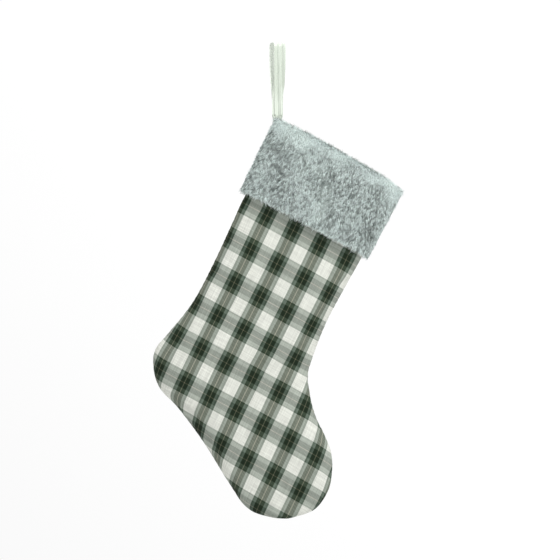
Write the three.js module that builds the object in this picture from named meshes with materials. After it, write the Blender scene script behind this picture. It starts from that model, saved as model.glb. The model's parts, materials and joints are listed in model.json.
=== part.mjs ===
// A hanging stocking: a padded, lined leg and foot, a fur cuff folded over the mouth and a ribbon
// loop. Millimetres, +Z up, +X to the toe side, +Y to the wall. The origin is on the underside of
// the loop's crown, where a hook carries it. The stocking hangs tilted from its heel-side corner.
import * as THREE from "three";

// Hanging
const HANG_TILT = THREE.MathUtils.degToRad(28); // lean of the leg as it hangs
const SWING_Z = -100; // height of the point that the stocking swings about
const LOOP_ROOT = { x: -93.2, z: 3.8 }; // that same point, in the leg's own frame

// The layers of the leg, each from an inset to a deeper inset, measured in from the outer face
const GAP = 0.3; // clearance between pieces that touch
const SHELL = { outer: 0, inner: 1, shortBy: 0 }; // shortBy: how many ribs before the toe it ends
const WADDING = { outer: 1.4, inner: 5.6, shortBy: 1 };
const LINING = { outer: 6, inner: 6.7, shortBy: 2 };
const RIM = 1.1; // each half's rim stands this far from the seam plane
const LEG_HALF_DEPTH = 22;
const TOE_ROUNDS_FROM = 0.72; // share of the leg's length where the depth starts to close in
const TOE_LENGTH_SHARE = 1.004; // share at which the depth would reach nothing
const LENGTH_PER_INSET = 1 / 200; // share of length that each millimetre of inset takes off the toe
const TOE_FILL = 0.02; // what is left of the hollow at a layer's last rib
const RIBS = 24;
const FACETS = 13; // odd, so that the middle of each face is one flat facet
const EDGE_ROUNDING = 2 / 3; // below 1 flattens the middle of the leg and rounds its edges

// Seams
const SEAM_HALF_THICKNESS = 0.8;
const SEAM_INSET = 0.6;
const SEAM_WIDTH = 5;

// Cuff, as offsets out from the leg's outer face and depths below the fold
const MOUTH_HALF_WIDTH = 88;
const CUFF_FOOT_HALF_WIDTH = 86;
const MOUTH_CENTRE = 1;
const CUFF_FOOT_CENTRE = 3.2;
const CUFF_DROP = 102.5;
const CUFF_INNER = 5.8;
const CUFF_OUTER = 10;
const FACING_OUTER = -7.1;
const FACING_INNER = -9.1;
const FACING_DROP = 30;
const FOLD_HEIGHT = 5; // the leg's layers stop this far below the fold
const FOLD_STEPS = 6;
const HEM = { thickness: 1, top: 88, bottom: 100 };
const STITCH_RADIUS = 0.5;
const STITCH_FACETS = 6;
const STITCH_DROP = 27;

// Ribbon
const RIBBON_THICKNESS = 0.8;
const RIBBON_WIDTH = 20;
const NECK_WIDTH = 12;
const CROWN_RADIUS = 6;
const CROWN_FACETS = 7; // odd, so that the seat under the crown is one flat facet
const LOOP_BOTTOM = -83;
const STRAND_SPREAD_AT_NECK = 0.75;
const STRAND_STEPS = 9;
const NECK_HALF_THICKNESS = 1.5;
const NECK_LENGTH = 4.7;
const NECK_ROUND_STEPS = 6;
const TAIL_RADIUS = 5;
const TAIL_ROUND_STEPS = 8;
const TAIL_HALF_WIDTH = 3.5;
const TAIL_DROP = 22;
const BARTACK_HEIGHT = 2;

// The leg's outline, flat and upright: [across, down from the fold]. Each point of the heel-side
// edge pairs with the toe-side point at the other end of the same rib.
const HEEL_EDGE = [
  [-87, FOLD_HEIGHT],
  [-84, 110],
  [-79, 200],
  [-79, 262],
  [-88, 312], // calf runs out to the heel
  [-93.2, 338],
  [-87, 358], // heel
  [-65, 382],
  [-28, 396], // sole
  [20, 419],
  [70, 448],
  [100, 464],
  [121, 468.5], // under the toe
  [143, 464],
  [152, 461],
];
const TOE_EDGE = [
  [89, FOLD_HEIGHT],
  [91, 110],
  [90.5, 200],
  [97.5, 260],
  [103, 279], // ankle
  [113.5, 294],
  [124, 307],
  [141, 323],
  [158, 335], // instep
  [176, 351],
  [189, 373],
  [196, 398], // top of the toe
  [192, 427],
  [172, 449.5],
  [163.5, 456],
];

const edgeCurve = (points) =>
  new THREE.CatmullRomCurve3(
    points.map(([across, down]) => new THREE.Vector3(across, 0, -down)),
    false,
    "catmullrom",
    0.5,
  );
const heelEdge = edgeCurve(HEEL_EDGE);
const toeEdge = edgeCurve(TOE_EDGE);

const fabric = (color, roughness) => new THREE.MeshStandardMaterial({ color, roughness, metalness: 0 });
const plaid = fabric(0x8a9189, 0.85);
const wool = fabric(0xf0efea, 1);
const liningCloth = fabric(0xe4e2da, 0.7);
const fur = fabric(0xa5b0ae, 0.95);
const satin = fabric(0xe1e6de, 0.45);
const thread = fabric(0xcdd0c6, 0.6);

const range = (count) => Array.from({ length: count }, (_, i) => i);
const mix = THREE.MathUtils.lerp;

// Twice the signed area of a flat outline.
const turn = (outline) => -2 * THREE.ShapeUtils.area(outline);

// The triangles that close a flat outline, all turning the way the outline does.
function capOf(outline) {
  return THREE.ShapeUtils.triangulateShape(outline, []).map((face) => {
    const same = turn(face.map((i) => outline[i])) * turn(outline) > 0;
    return same ? face : face.toReversed();
  });
}

// A closed body skinned over rings of matching points. `outline` is a ring's flat shape, for its caps.
function skin(name, rings, outline, material) {
  const size = rings[0].length;
  const faces = [];
  for (const k of range(rings.length - 1)) {
    for (const i of range(size)) {
      const next = (i + 1) % size;
      const [a, b] = [k * size + i, (k + 1) * size + i];
      const [c, d] = [(k + 1) * size + next, k * size + next];
      faces.push([a, b, c], [a, c, d]);
    }
  }
  const last = (rings.length - 1) * size;
  for (const [a, b, c] of capOf(outline)) {
    faces.push([a, b, c], [last + c, last + b, last + a]);
  }
  const points = rings.flat();
  const volume = faces.reduce((sum, [a, b, c]) => {
    return sum + points[a].dot(points[b].clone().cross(points[c]));
  }, 0);
  const index = faces.flatMap((face) => (volume > 0 ? face : face.toReversed()));
  const geometry = new THREE.BufferGeometry().setFromPoints(points).setIndex(index);
  geometry.computeVertexNormals();
  const mesh = new THREE.Mesh(geometry, material);
  mesh.name = name;
  return mesh;
}

// Across and out of one half of a section: from 1, through 0 in its middle, to -1.
const acrossAt = (angle) => Math.sign(Math.cos(angle)) * Math.abs(Math.cos(angle)) ** EDGE_ROUNDING;
const sectionAngles = range(FACETS + 1).map((i) => (Math.PI * i) / FACETS);

// Half the leg's depth at a share of its length: even down the leg, closing round the toe.
function halfDepthAt(share) {
  const into = Math.max(0, (share - TOE_ROUNDS_FROM) / (TOE_LENGTH_SHARE - TOE_ROUNDS_FROM));
  return LEG_HALF_DEPTH * Math.sqrt(1 - into ** 2);
}

// One row of points across the leg, on the surface that lies `inset` inside its outer face.
function legRow(share, inset, side) {
  const at = share * (1 - inset * LENGTH_PER_INSET);
  const heel = heelEdge.getPoint(at);
  const toe = toeEdge.getPoint(at);
  const centre = heel.clone().lerp(toe, 0.5);
  const half = toe.clone().sub(centre);
  half.setLength(half.length() - inset);
  const rise = halfDepthAt(at) - inset - RIM;
  return sectionAngles.map((angle) => {
    const point = centre.clone().addScaledVector(half, acrossAt(angle));
    point.y = side * (RIM + rise * Math.abs(Math.sin(angle)));
    return point;
  });
}

// One layer of the leg, front (side -1) or back (side 1). Its last ring is filled in, to close the toe.
function legLayer(name, { outer, inner, shortBy }, side, material) {
  const last = RIBS - 1 - shortBy;
  const rings = range(last + 1).map((k) => {
    const share = k / (RIBS - 1);
    const inside = legRow(share, inner, side).toReversed();
    if (k === last) inside.forEach((point) => (point.y = mix(side * RIM, point.y, TOE_FILL)));
    return [...legRow(share, outer, side), ...inside];
  });
  const outline = rings[0].map((p) => new THREE.Vector2(p.x, p.y));
  return skin(name, rings, outline, material);
}

// The turned-in allowance of one side seam, from the mouth to the toe's tip.
function sideSeam(name, edge, other) {
  const rings = range(RIBS).map((k) => {
    const share = k / (RIBS - 1);
    const outside = edge.getPoint(share);
    const inward = other.getPoint(share).sub(outside);
    const reach = Math.min(SEAM_WIDTH, inward.length() / 2 - GAP);
    inward.normalize();
    return [
      [SEAM_INSET, -1],
      [reach, -1],
      [reach, 1],
      [SEAM_INSET, 1],
    ].map(([along, side]) => {
      const point = outside.clone().addScaledVector(inward, along);
      point.y = side * SEAM_HALF_THICKNESS;
      return point;
    });
  });
  const outline = [
    [0, 0],
    [1, 0],
    [1, 1],
    [0, 1],
  ].map(([x, y]) => new THREE.Vector2(x, y));
  return skin(name, rings, outline, thread);
}

// The centre and half width of the section that the cuff goes round, at a depth below the fold.
const centreUnderCuff = (down) => mix(MOUTH_CENTRE, CUFF_FOOT_CENTRE, down / CUFF_DROP);
const halfWidthUnderCuff = (down) => mix(MOUTH_HALF_WIDTH, CUFF_FOOT_HALF_WIDTH, down / CUFF_DROP);

// A flat outline of [offset out, down] points carried round one half of the mouth.
function roundMouth(name, outline, side, material) {
  const rings = sectionAngles.map((angle) =>
    outline.map(([offset, down]) => {
      const across = centreUnderCuff(down) + (halfWidthUnderCuff(down) + offset) * acrossAt(angle);
      const out = RIM + (LEG_HALF_DEPTH + offset - RIM) * Math.abs(Math.sin(angle));
      return new THREE.Vector3(across, side * out, -down);
    }),
  );
  const flat = outline.map(([offset, down]) => new THREE.Vector2(offset, down));
  return skin(name, rings, flat, material);
}

// The cuff's section: up the outside, over the fold, down the facing, and back under it.
function cuffOutline(shrink = 0) {
  const middle = (CUFF_OUTER + FACING_INNER) / 2;
  const reach = (CUFF_OUTER - FACING_INNER) / 2 - shrink;
  const fold = range(FOLD_STEPS + 1).map((i) => {
    const angle = (Math.PI * i) / FOLD_STEPS;
    return [middle + reach * Math.cos(angle), FOLD_HEIGHT * (1 - Math.sin(angle)) + shrink];
  });
  return [
    [CUFF_INNER + shrink, CUFF_DROP - shrink],
    [CUFF_OUTER - shrink, CUFF_DROP - shrink],
    ...fold,
    [FACING_INNER + shrink, FACING_DROP - shrink],
    [FACING_OUTER - shrink, FACING_DROP - shrink],
    [FACING_OUTER - shrink, FOLD_HEIGHT - GAP - shrink],
    [CUFF_INNER + shrink, FOLD_HEIGHT - GAP - shrink],
  ];
}

const rectangle = (left, right, top, bottom) => [
  [left, top],
  [right, top],
  [right, bottom],
  [left, bottom],
];

const hemOuter = CUFF_INNER - GAP;
const hemOutline = rectangle(hemOuter - HEM.thickness, hemOuter, HEM.top, HEM.bottom);

// A flat plate in the seam plane, from an outline of [across, down] points.
function seamPlate(name, outline, material) {
  const rings = [-1, 1].map((side) =>
    outline.map(([across, down]) => new THREE.Vector3(across, side * SEAM_HALF_THICKNESS, -down)),
  );
  const flat = outline.map(([across, down]) => new THREE.Vector2(across, down));
  return skin(name, rings, flat, material);
}

// The cuff's toe-side seam: its whole section, standing in the seam plane.
function toeSideCuffSeam() {
  const outline = cuffOutline(GAP).map(([offset, down]) => {
    return [centreUnderCuff(down) + halfWidthUnderCuff(down) + offset, down];
  });
  return seamPlate("cuff_seam_toe_side", outline, fur);
}

// The cuff's heel-side seam, which starts below the ribbon's tail.
function heelSideCuffSeam() {
  const top = TAIL_DROP + BARTACK_HEIGHT + 2 * GAP;
  const outline = rectangle(CUFF_INNER + GAP, CUFF_OUTER - GAP, top, CUFF_DROP - GAP);
  const placed = outline.map(([offset, down]) => {
    return [centreUnderCuff(down) - halfWidthUnderCuff(down) - offset, down];
  });
  return seamPlate("cuff_seam_heel_side", placed, fur);
}

// A thread run round one half of the mouth, on the facing.
function mouthStitch(name, side) {
  const centre = FACING_INNER - GAP - STITCH_RADIUS;
  const outline = range(STITCH_FACETS).map((i) => {
    const angle = (2 * Math.PI * i) / STITCH_FACETS;
    return [centre + STITCH_RADIUS * Math.cos(angle), STITCH_DROP + STITCH_RADIUS * Math.sin(angle)];
  });
  return roundMouth(name, outline, side, thread);
}

// The ribbon's tail, caught in the seam: a round head that the stocking swings about, then a strip.
function ribbonTail() {
  const head = range(TAIL_ROUND_STEPS + 1).map((i) => {
    const angle = (Math.PI * i) / TAIL_ROUND_STEPS;
    return [LOOP_ROOT.x + TAIL_RADIUS * Math.cos(angle), -LOOP_ROOT.z - TAIL_RADIUS * Math.sin(angle)];
  });
  const outline = [
    ...head,
    [LOOP_ROOT.x - TAIL_HALF_WIDTH, FOLD_HEIGHT],
    [LOOP_ROOT.x - TAIL_HALF_WIDTH, TAIL_DROP],
    [LOOP_ROOT.x + TAIL_HALF_WIDTH, TAIL_DROP],
    [LOOP_ROOT.x + TAIL_HALF_WIDTH, FOLD_HEIGHT],
  ];
  return seamPlate("loop_tail", outline, satin);
}

function bartack() {
  const top = TAIL_DROP + GAP;
  const half = TAIL_HALF_WIDTH - GAP;
  const outline = rectangle(LOOP_ROOT.x - half, LOOP_ROOT.x + half, top, top + BARTACK_HEIGHT);
  return seamPlate("loop_bartack", outline, thread);
}

// The middle line of the ribbon, up the front strand, over the crown and down the back: [y, z].
function ribbonLine() {
  const radius = CROWN_RADIUS + RIBBON_THICKNESS / 2;
  const centre = -CROWN_RADIUS * Math.cos(Math.PI / CROWN_FACETS / 2);
  const strand = range(STRAND_STEPS).map((i) => {
    const up = i / STRAND_STEPS;
    const ease = up * up * (3 - 2 * up);
    return [mix(STRAND_SPREAD_AT_NECK, radius, ease), mix(LOOP_BOTTOM, centre, up)];
  });
  const crown = range(CROWN_FACETS + 1).map((i) => {
    const angle = (Math.PI * i) / CROWN_FACETS;
    return [-radius * Math.cos(angle), centre + radius * Math.sin(angle)];
  });
  return [...strand.map(([y, z]) => [-y, z]), ...crown, ...strand.toReversed()];
}

const ribbonHalfWidth = (z) => {
  const up = THREE.MathUtils.smoothstep(z, LOOP_BOTTOM, LOOP_BOTTOM / 2);
  return mix(NECK_WIDTH, RIBBON_WIDTH, up) / 2;
};

function hangingLoop() {
  const line = ribbonLine();
  const rings = line.map(([y, z], i) => {
    const [y0, z0] = line[Math.max(0, i - 1)];
    const [y1, z1] = line[Math.min(line.length - 1, i + 1)];
    const length = Math.hypot(y1 - y0, z1 - z0);
    const [outY, outZ] = [(z0 - z1) / length, (y1 - y0) / length];
    const [half, wide] = [RIBBON_THICKNESS / 2, ribbonHalfWidth(z)];
    return rectangle(-wide, wide, -half, half).map(([x, out]) => {
      return new THREE.Vector3(x, y + outY * out, z + outZ * out);
    });
  });
  const outline = rectangle(0, 1, 0, 1).map(([x, y]) => new THREE.Vector2(x, y));
  return skin("hanging_loop", rings, outline, satin);
}

// A block of gathered ribbon of an outline of [y, z] points.
function neckBlock(name, outline) {
  const rings = [-1, 1].map((side) => {
    return outline.map(([y, z]) => new THREE.Vector3((side * NECK_WIDTH) / 2, y, z));
  });
  const flat = outline.map(([y, z]) => new THREE.Vector2(y, z));
  return skin(name, rings, flat, satin);
}

const neckUpperTop = LOOP_BOTTOM - GAP;
const neckUpperBottom = neckUpperTop - NECK_LENGTH;
const foldZ = neckUpperBottom - GAP - NECK_HALF_THICKNESS;
const neckLowerBottom = SWING_Z + TAIL_RADIUS + GAP;

function neckUpper() {
  const half = NECK_HALF_THICKNESS;
  return neckBlock("loop_neck_upper", rectangle(-half, half, neckUpperTop, neckUpperBottom));
}

// Its top is rounded about the line that the ribbon folds on.
function neckLower() {
  const half = NECK_HALF_THICKNESS;
  const top = range(NECK_ROUND_STEPS + 1).map((i) => {
    const angle = (Math.PI * i) / NECK_ROUND_STEPS;
    return [half * Math.cos(angle), foldZ + half * Math.sin(angle)];
  });
  return neckBlock("loop_neck_lower", [...top, [-half, neckLowerBottom], [half, neckLowerBottom]]);
}

// Everything that is sewn to the stocking itself, upright, with its origin at the middle of the fold.
function stocking() {
  const group = new THREE.Group();
  const halves = [
    ["front", -1],
    ["back", 1],
  ];
  for (const [half, side] of halves) {
    group.add(
      legLayer(`shell_${half}`, SHELL, side, plaid),
      legLayer(`wadding_${half}`, WADDING, side, wool),
      legLayer(`lining_${half}`, LINING, side, liningCloth),
      roundMouth(`cuff_${half}`, cuffOutline(), side, fur),
      roundMouth(`cuff_hem_${half}`, hemOutline, side, fur),
      mouthStitch(`mouth_stitch_${half}`, side),
    );
  }
  group.add(
    sideSeam("side_seam_heel_side", heelEdge, toeEdge),
    sideSeam("side_seam_toe_side", toeEdge, heelEdge),
    heelSideCuffSeam(),
    toeSideCuffSeam(),
    ribbonTail(),
    bartack(),
  );
  group.rotation.y = HANG_TILT;
  const root = new THREE.Vector3(LOOP_ROOT.x, 0, LOOP_ROOT.z).applyEuler(group.rotation);
  group.position.set(-root.x, 0, SWING_Z - root.z);
  return group;
}

const group = new THREE.Group();
group.add(hangingLoop(), neckUpper(), neckLower(), stocking());
export default group;
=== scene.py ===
"""A hanging stocking: plaid leg and foot, faux-fur cuff and satin ribbon loop, dressed over its CAD frame.

Shapes are worked out in the leg's own frame, in millimetres: across (towards the toe side), y (towards
the wall) and down from the cuff's fold. `hang` turns them into the frame's metres.
"""

import itertools
import json
import math

import bpy
import numpy as np
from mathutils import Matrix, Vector


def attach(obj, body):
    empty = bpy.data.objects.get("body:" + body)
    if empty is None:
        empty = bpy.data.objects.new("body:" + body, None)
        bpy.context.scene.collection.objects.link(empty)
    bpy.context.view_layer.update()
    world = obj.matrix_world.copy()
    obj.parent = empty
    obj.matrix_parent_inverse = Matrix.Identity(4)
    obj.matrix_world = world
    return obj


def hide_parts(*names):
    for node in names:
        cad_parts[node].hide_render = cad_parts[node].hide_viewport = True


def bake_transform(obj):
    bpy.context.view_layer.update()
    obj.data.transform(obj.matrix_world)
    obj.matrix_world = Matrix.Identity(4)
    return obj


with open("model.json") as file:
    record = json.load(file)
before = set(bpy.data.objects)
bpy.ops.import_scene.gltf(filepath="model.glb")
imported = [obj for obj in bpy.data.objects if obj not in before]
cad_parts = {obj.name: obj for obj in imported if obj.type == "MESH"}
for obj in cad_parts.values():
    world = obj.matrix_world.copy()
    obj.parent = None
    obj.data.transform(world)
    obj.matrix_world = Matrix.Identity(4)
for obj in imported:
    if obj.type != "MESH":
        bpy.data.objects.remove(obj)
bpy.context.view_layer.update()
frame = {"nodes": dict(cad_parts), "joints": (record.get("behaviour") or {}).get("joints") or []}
JOINTS = {joint["name"]: joint for joint in frame["joints"]}
MM = 0.001
SCENE = bpy.context.scene

# ---------- camera

CAMERA_DISTANCE = 2.5
VIEW_WIDTH = 0.739
VIEW_CENTRE = (0.0033, -0.3128)


def add_camera():
    data = bpy.data.cameras.new("camera")
    data.sensor_width = 36
    data.lens = data.sensor_width * CAMERA_DISTANCE / VIEW_WIDTH
    camera = bpy.data.objects.new("camera", data)
    camera.location = (VIEW_CENTRE[0], -CAMERA_DISTANCE, VIEW_CENTRE[1])
    camera.rotation_euler = (math.pi / 2, 0, 0)
    SCENE.collection.objects.link(camera)
    SCENE.camera = camera


add_camera()

# ---------- dimensions, as in the CAD source

LOOP_ROOT = (-93.2, -3.8)  # across and down of the point that the stocking swings about
HALF_DEPTH = 22
TOE_ROUNDS_FROM = 0.72  # the share of the leg's length where its depth starts to close
MOUTH_HALF_WIDTH, CUFF_FOOT_HALF_WIDTH = 88, 86
MOUTH_CENTRE, CUFF_FOOT_CENTRE = 1, 3.2
CUFF_DROP = 102.5
LOOP_BOTTOM, NECK_FOLD, NECK_BOTTOM, SWING_Z = -83, -89.8, -94.7, -100
CROWN_RADIUS = 6
TAIL_DROP = 22

# The leg's two edges from the mouth to the toe, as [across, down]
HEEL_EDGE = [
    (-87, 5), (-84, 110), (-79, 200), (-79, 262), (-88, 312), (-93.2, 338), (-87, 358), (-65, 382),
    (-28, 396), (20, 419), (70, 448), (100, 464), (121, 468.5), (143, 464), (152, 461),
]
TOE_EDGE = [
    (89, 5), (91, 110), (90.5, 200), (97.5, 260), (103, 279), (113.5, 294), (124, 307), (141, 323),
    (158, 335), (176, 351), (189, 373), (196, 398), (192, 427), (172, 449.5), (163.5, 456),
]

# ---------- helpers

mouth_axis = JOINTS["mouth_opening"]["axis"]  # lies across the leg
TILT = math.atan2(-mouth_axis[2], mouth_axis[0])
SWING = np.array(JOINTS["side_swing"]["pos_m"], float)


def turned(across, down):
    """X and Z, in millimetres, of a step in the leg's frame."""
    cos, sin = math.cos(TILT), math.sin(TILT)
    return cos * across - sin * down, -sin * across - cos * down


def hang(points):
    """Leg-frame points [across, y, down] in millimetres to the frame's metres."""
    points = np.asarray(points, float)
    x, z = turned(points[..., 0] - LOOP_ROOT[0], points[..., 2] - LOOP_ROOT[1])
    return np.stack([x, points[..., 1], z], -1) * MM + SWING


def smooth(value):
    value = np.clip(value, 0, 1)
    return value * value * (3 - 2 * value)


WAVES = 12


def lengths(vectors):
    return np.linalg.norm(vectors, axis=-1, keepdims=True)


def unit(vectors):
    return vectors / np.maximum(lengths(vectors), 1e-9)


def wander(u, v, scale, seed):
    """Smooth noise of about -1 to 1 over a surface, from seeded plane waves about `scale` long."""
    rng = np.random.default_rng(seed)
    total = 0
    for _ in range(WAVES):
        angle, phase = rng.uniform(0, math.tau, 2)
        pitch = math.tau / scale / rng.uniform(0.7, 1.5)
        total = total + np.sin(pitch * (u * math.cos(angle) + v * math.sin(angle)) + phase)
    return total * math.sqrt(2 / WAVES) / 1.5


def curve_points(control, share):
    """Points at shares 0 to 1 of a smooth curve through the control points."""
    p = np.array(control, float)
    p = np.vstack([2 * p[0] - p[1], p, 2 * p[-1] - p[-2]])
    at = np.clip(share, 0, 1) * (len(control) - 1)
    k = np.minimum(at.astype(int), len(control) - 2)
    w = (at - k)[..., None]
    a, b, c, d = p[k], p[k + 1], p[k + 2], p[k + 3]
    leave, arrive = (c - a) / 2, (d - b) / 2
    bend = 3 * (c - b) - 2 * leave - arrive
    return b + w * leave + w**2 * bend + w**3 * (2 * (b - c) + leave + arrive)


def run_length(points):
    """Length from the first point along a line of points."""
    steps = np.linalg.norm(np.diff(points, axis=0), axis=-1)
    return np.concatenate([[0], np.cumsum(steps)])


def grid_normals(grid):
    """Unit normals of a grid of points, from its rows crossed with its columns."""
    return unit(np.cross(np.gradient(grid, axis=1), np.gradient(grid, axis=0)))


def finer(grid):
    """Doubles a grid's rows and columns, with new points on smooth curves through the old."""
    for axis in (0, 1):
        g = np.moveaxis(grid, axis, 0)
        padded = np.concatenate([2 * g[:1] - g[1:2], g, 2 * g[-1:] - g[-2:-1]])
        between = (9 * (padded[1:-2] + padded[2:-1]) - padded[:-3] - padded[3:]) / 16
        made = np.empty((2 * len(g) - 1, *g.shape[1:]))
        made[::2], made[1::2] = g, between
        grid = np.moveaxis(made, 0, axis)
    return grid


def quads(rows, columns, offset=0):
    """Faces of a grid of points numbered row by row."""
    r, c = np.meshgrid(np.arange(rows - 1), np.arange(columns - 1), indexing="ij")
    a = (r * columns + c).ravel() + offset
    return np.stack([a, a + 1, a + columns + 1, a + columns], -1)


def tube_faces(rows, columns):
    """Faces of a tube of points numbered ring by ring."""
    ring = np.arange(columns)
    after, r = np.roll(ring, -1), np.arange(rows - 1)[:, None] * columns
    return np.stack([r + ring, r + after, r + columns + after, r + columns + ring], -1).reshape(-1, 4)


def new_object(name, points, faces, material, uv=None, uv_name="Fabric"):
    mesh = bpy.data.meshes.new(name)
    faces = faces if isinstance(faces, list) else faces.tolist()
    mesh.from_pydata(points.tolist(), [], faces)
    if uv is not None:
        layer = mesh.uv_layers.new(name=uv_name)
        corners = np.zeros(len(mesh.loops), np.int32)
        mesh.loops.foreach_get("vertex_index", corners)
        layer.data.foreach_set("uv", np.asarray(uv, np.float32)[corners].ravel())
    mesh.shade_smooth()
    mesh.materials.append(material)
    made = bpy.data.objects.new(name, mesh)
    SCENE.collection.objects.link(made)
    return made


RIM_ANGLE = math.radians(60)  # edges sharper than this are shaded as edges


def sheet_object(name, outer, thickness, material, uv=None):
    """A closed thin sheet: a grid of outer points, and the same grid moved inwards."""
    rows, columns = outer.shape[:2]
    normal = grid_normals(outer)
    inner = outer - normal * thickness
    count = rows * columns
    top, bottom = np.arange(columns), np.arange(columns) + (rows - 1) * columns
    left, right = np.arange(rows) * columns, np.arange(rows) * columns + columns - 1
    border = np.concatenate([top[:-1], right[:-1], bottom[:0:-1], left[:0:-1]])
    after = np.roll(border, -1)
    rim = np.stack([border, border + count, after + count, after], -1)
    faces = np.concatenate([quads(rows, columns), quads(rows, columns, count)[:, ::-1], rim])
    points = np.concatenate([outer.reshape(-1, 3), inner.reshape(-1, 3)])
    if volume_of(points, faces) < 0:
        faces = faces[:, ::-1]
    if uv is not None:
        uv = np.concatenate([uv.reshape(-1, 2)] * 2)
    made = new_object(name, points, faces, material, uv)
    made.data.set_sharp_from_angle(angle=RIM_ANGLE)
    return made


def volume_of(points, faces):
    """Six times the volume inside quad faces."""
    a, b, c, d = (points[faces[:, i]] for i in range(4))
    first = np.einsum("ij,ij->i", a, np.cross(b, c)).sum()
    return first + np.einsum("ij,ij->i", a, np.cross(c, d)).sum()


# ---------- materials


class Nodes:
    """A new material with its shader, and short ways to add linked nodes."""

    def __init__(self, name, roughness):
        self.material = bpy.data.materials.new(name)
        self.material.use_nodes = True
        self.tree = self.material.node_tree
        self.shader = self.tree.nodes["Principled BSDF"]
        self.shader.inputs["Roughness"].default_value = roughness

    def add(self, kind, settings=None, **values):
        node = self.tree.nodes.new(kind)
        for key, value in (settings or {}).items():
            setattr(node, key, value)
        for key, value in values.items():
            self.put(node.inputs[int(key[1:])], value)
        return node.outputs[0]

    def put(self, socket, value):
        if isinstance(value, bpy.types.NodeSocket):
            self.tree.links.new(value, socket)
        else:
            socket.default_value = value

    def math(self, operation, first, second=0.0, third=0.0):
        return self.add("ShaderNodeMath", {"operation": operation}, _0=first, _1=second, _2=third)

    def ramp(self, value, stops):
        node = self.tree.nodes.new("ShaderNodeValToRGB")
        elements = node.color_ramp.elements
        while len(elements) < len(stops):
            elements.new(1)
        for element, (place, color) in zip(elements, stops):
            element.position = place
            element.color = (*color, 1)
        self.put(node.inputs[0], value)
        return node.outputs[0]

    def mix(self, factor, first, second, blend="MIX"):
        node = self.tree.nodes.new("ShaderNodeMix")
        node.data_type, node.blend_type = "RGBA", blend
        self.put(node.inputs[0], factor)
        self.put(node.inputs[6], first)
        self.put(node.inputs[7], second)
        return node.outputs[2]

    def noise(self, vector, scale, detail=2.0):
        return self.add("ShaderNodeTexNoise", None, _0=vector, _2=scale, _3=detail)

    def uv(self, name):
        return self.add("ShaderNodeUVMap", {"uv_map": name})

    def split(self, vector):
        node = self.tree.nodes.new("ShaderNodeSeparateXYZ")
        self.put(node.inputs[0], vector)
        return node.outputs[:2]

    def place(self):
        return self.tree.nodes.new("ShaderNodeTexCoord").outputs["Object"]

    def scaled(self, vector, scale):
        return self.add("ShaderNodeMapping", None, _0=vector, _3=scale)

    def bump(self, height, distance, strength=1.0):
        node = self.tree.nodes.new("ShaderNodeBump")
        node.inputs["Strength"].default_value = strength
        node.inputs["Distance"].default_value = distance
        self.put(node.inputs["Height"], height)
        self.tree.links.new(node.outputs[0], self.shader.inputs["Normal"])

    def color(self, color):
        self.put(self.shader.inputs["Base Color"], color)

    def sheen(self, weight, roughness, tint):
        self.shader.inputs["Sheen Weight"].default_value = weight
        self.shader.inputs["Sheen Roughness"].default_value = roughness
        self.shader.inputs["Sheen Tint"].default_value = (*tint, 1)


def shade(red, green, blue):
    """Display values from 0 to 255, as a share of full brightness."""
    return red / 255, green / 255, blue / 255


def linear(red, green, blue):
    """Display values from 0 to 255, as the light that they stand for."""
    return tuple((value / 255) ** 2.2 for value in (red, green, blue))


# Sett of the plaid: how far each band reaches from the middle of a stripe, in millimetres
WARP_REPEAT, WEFT_REPEAT = 40, 49
WARP_BANDS = [
    (0.5, shade(118, 114, 94)), (5.9, shade(31, 41, 26)),
    (8.7, shade(105, 117, 105)), (11.1, shade(84, 96, 84)),
]
WEFT_BANDS = [
    (0.5, shade(118, 112, 96)), (7.4, shade(36, 49, 39)),
    (12.2, shade(98, 111, 99)), (14.1, shade(78, 91, 80)),
]
WHITE_YARN = shade(221, 223, 214)
WARP_SHARE = 0.585  # how much of the colour is the warp's, where the two cross
TWILL_PITCH = 1.5
TWILL_ACROSS, TWILL_DOWN = 0.75, 0.65  # the slant of the twill's ribs
BAND_BLUR = 0.35  # half the width over which one band's yarn gives way to the next, in millimetres


def yarn_bands(nodes, coordinate, repeat, bands):
    """Yarn colours across a stripe, from a coordinate that counts repeats."""
    near = nodes.math("PINGPONG", coordinate, 0.5)
    half = repeat / 2
    colors = [color for _, color in bands] + [WHITE_YARN]
    stops = []
    for i, (reach, _) in enumerate(bands):
        stops.append(((reach - BAND_BLUR) / half, colors[i]))
        stops.append(((reach + BAND_BLUR) / half, colors[i + 1]))
    return nodes.ramp(nodes.math("MULTIPLY", near, 2.0), stops)


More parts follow.
